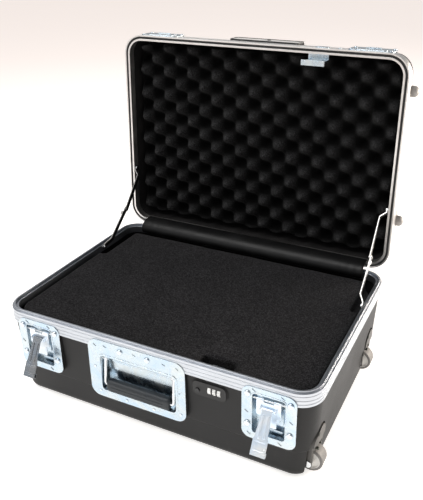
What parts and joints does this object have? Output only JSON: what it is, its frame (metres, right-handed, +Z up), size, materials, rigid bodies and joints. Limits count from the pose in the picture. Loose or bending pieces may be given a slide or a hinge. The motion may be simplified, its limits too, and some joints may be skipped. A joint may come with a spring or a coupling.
{
  "type": "wheeled transit case",
  "caption": "Hinged hard-shell transit case with aluminium rim frame, recessed front handle, draw latches, combination lock, folding lid stays, foam lining, corner wheels and pull handle.",
  "frame": {"origin": "centre of the base's flat underside, between the frame's side faces", "axes": "+Z up out of the base, +Y towards the hinge side, +X towards the end with the wheels; rest pose is lid open, 92.3 degrees from shut"},
  "size_m": [0.5716, 0.5272, 0.5646],
  "materials": {
    "abs_shell": "moulded, pebble-grained black",
    "frame_aluminium": "drawn, satin with fine lines",
    "zinc_steel": "bright zinc plate",
    "bright_steel": "bright plated",
    "dark_steel": "darkened",
    "black_plastic": "satin",
    "grip_rubber": "ribbed, matt",
    "gasket_rubber": "matt",
    "foam": "open-cell foam",
    "vinyl": "smooth black vinyl",
    "dial_white": "gloss",
    "card_panel": "pale",
    "wheel_hub": "pale grey",
    "wheel_tyre": "grey polyurethane"
  },
  "bodies": {
    "base": {"base_shell": "abs_shell", "base_frame": "frame_aluminium", "base_foam": "foam", "floor_foam_strips": "foam", "hinge_leaf_base": "zinc_steel", "hinge_pin": "bright_steel", "hinge_rivets_base": "bright_steel", "hinge_cover": "vinyl", "handle_dish": "zinc_steel", "handle_rivets": "bright_steel", "latch_dishes": "zinc_steel", "latch_pins": "bright_steel", "latch_rivets": "bright_steel", "lock_escutcheon": "black_plastic", "lock_body": "zinc_steel", "dial_axle": "bright_steel", "stay_studs_base": "bright_steel", "wheel_housings": "zinc_steel", "wheel_axles": "bright_steel", "wheel_housing_rivets": "dark_steel", "tow_cup": "black_plastic", "tow_cup_screws": "dark_steel", "tow_outer_tubes": "bright_steel"},
    "lid": {"lid_shell": "abs_shell", "lid_frame": "frame_aluminium", "lid_gasket": "gasket_rubber", "lid_foam": "foam", "hinge_leaf_lid": "zinc_steel", "hinge_rivets_lid": "bright_steel", "strike_plates": "zinc_steel", "strike_rivets": "bright_steel", "card_frame": "black_plastic", "card_panel": "card_panel", "lock_backing_plate": "zinc_steel", "lock_tang": "zinc_steel", "stay_studs_lid": "bright_steel", "lid_glides": "bright_steel"},
    "front_handle": {"handle_bail": "bright_steel", "handle_grip": "grip_rubber"},
    "latch_lever_right": {"latch_lever_right": "zinc_steel"},
    "latch_claw_right": {"latch_claw_right": "zinc_steel"},
    "latch_lever_left": {"latch_lever_left": "zinc_steel"},
    "latch_claw_left": {"latch_claw_left": "zinc_steel"},
    "dial_1": {"dial_1": "dial_white"},
    "dial_2": {"dial_2": "dial_white"},
    "dial_3": {"dial_3": "dial_white"},
    "lock_button": {"lock_button": "black_plastic"},
    "lock_bolt": {"lock_bolt": "zinc_steel"},
    "stay_lower_right": {"stay_lower_right": "zinc_steel"},
    "stay_upper_right": {"stay_upper_right": "zinc_steel"},
    "stay_lower_left": {"stay_lower_left": "dark_steel"},
    "stay_upper_left": {"stay_upper_left": "dark_steel"},
    "wheel_front": {"wheel_hub_front": "wheel_hub", "wheel_tyre_front": "wheel_tyre"},
    "wheel_rear": {"wheel_hub_rear": "wheel_hub", "wheel_tyre_rear": "wheel_tyre"},
    "tow_stage1": {"tow_stage1_tubes": "bright_steel"},
    "tow_stage2": {"tow_stage2_tubes": "bright_steel", "tow_grip": "black_plastic"},
    "tow_button": {"tow_button": "black_plastic"}
  },
  "joints": [
    {"name": "lid_hinge", "type": "hinge", "parent": "base", "child": "lid", "pos_m": [0, 0.2005, 0.1652], "axis": [1, 0, 0], "range_deg": [0, 92.3], "deforming": ["hinge_cover"]},
    {"name": "stay_lower_right_pivot", "type": "hinge", "parent": "base", "child": "stay_lower_right", "pos_m": [0.2672, 0.0785, 0.159], "axis": [1, 0, 0], "range_deg": [-35.4, 0]},
    {"name": "stay_upper_right_pivot", "type": "hinge", "parent": "lid", "child": "stay_upper_right", "pos_m": [0.2672, 0.21159, 0.28685], "axis": [1, 0, 0], "range_deg": [0, 35.4]},
    {"name": "stay_lower_left_pivot", "type": "hinge", "parent": "base", "child": "stay_lower_left", "pos_m": [-0.2672, 0.0785, 0.159], "axis": [1, 0, 0], "range_deg": [-35.4, 0]},
    {"name": "stay_upper_left_pivot", "type": "hinge", "parent": "lid", "child": "stay_upper_left", "pos_m": [-0.2672, 0.21159, 0.28685], "axis": [1, 0, 0], "range_deg": [0, 35.4]},
    {"name": "front_handle_swing", "type": "hinge", "parent": "base", "child": "front_handle", "pos_m": [-0.013, -0.1905, 0.1216], "axis": [-1, 0, 0], "range_deg": [0, 84]},
    {"name": "latch_lever_right_pivot", "type": "hinge", "parent": "base", "child": "latch_lever_right", "pos_m": [0.2096, -0.1951, 0.138], "axis": [-1, 0, 0], "range_deg": [0, 55]},
    {"name": "latch_claw_right_pivot", "type": "hinge", "parent": "latch_lever_right", "child": "latch_claw_right", "pos_m": [0.2096, -0.2015, 0.127], "axis": [-1, 0, 0], "range_deg": [0, 85]},
    {"name": "latch_lever_left_pivot", "type": "hinge", "parent": "base", "child": "latch_lever_left", "pos_m": [-0.205, -0.1951, 0.138], "axis": [-1, 0, 0], "range_deg": [0, 55]},
    {"name": "latch_claw_left_pivot", "type": "hinge", "parent": "latch_lever_left", "child": "latch_claw_left", "pos_m": [-0.205, -0.2015, 0.127], "axis": [-1, 0, 0], "range_deg": [0, 85]},
    {"name": "dial_1_turn", "type": "hinge", "parent": "base", "child": "dial_1", "pos_m": [0.1132, -0.1893, 0.1232], "axis": [1, 0, 0], "continuous": true},
    {"name": "dial_2_turn", "type": "hinge", "parent": "base", "child": "dial_2", "pos_m": [0.1211, -0.1893, 0.1232], "axis": [1, 0, 0], "continuous": true},
    {"name": "dial_3_turn", "type": "hinge", "parent": "base", "child": "dial_3", "pos_m": [0.129, -0.1893, 0.1232], "axis": [1, 0, 0], "continuous": true},
    {"name": "lock_button_press", "type": "slide", "parent": "base", "child": "lock_button", "axis": [0, 1, 0], "range_m": [0, 0.003]},
    {"name": "lock_bolt_slide", "type": "slide", "parent": "base", "child": "lock_bolt", "axis": [0, -1, 0], "range_m": [0, 0.0045]},
    {"name": "wheel_front_spin", "type": "hinge", "parent": "base", "child": "wheel_front", "pos_m": [0.263, -0.149, 0.0212], "axis": [0, 1, 0], "continuous": true},
    {"name": "wheel_rear_spin", "type": "hinge", "parent": "base", "child": "wheel_rear", "pos_m": [0.263, 0.128, 0.0212], "axis": [0, 1, 0], "continuous": true},
    {"name": "tow_stage1_slide", "type": "slide", "parent": "base", "child": "tow_stage1", "axis": [-1, 0, 0], "range_m": [0, 0.33]},
    {"name": "tow_stage2_slide", "type": "slide", "parent": "tow_stage1", "child": "tow_stage2", "axis": [-1, 0, 0], "range_m": [0, 0.33]},
    {"name": "tow_button_press", "type": "slide", "parent": "tow_stage2", "child": "tow_button", "axis": [1, 0, 0], "range_m": [0, 0.0025]}
  ],
  "couplings": [
    {"joint": "stay_lower_right_pivot", "follows": "lid_hinge", "ratio": -0.3814},
    {"joint": "stay_upper_right_pivot", "follows": "lid_hinge", "ratio": 0.3814},
    {"joint": "stay_lower_left_pivot", "follows": "lid_hinge", "ratio": -0.3814},
    {"joint": "stay_upper_left_pivot", "follows": "lid_hinge", "ratio": 0.3814},
    {"joint": "lock_bolt_slide", "follows": "lock_button_press", "ratio": 1.5}
  ]
}
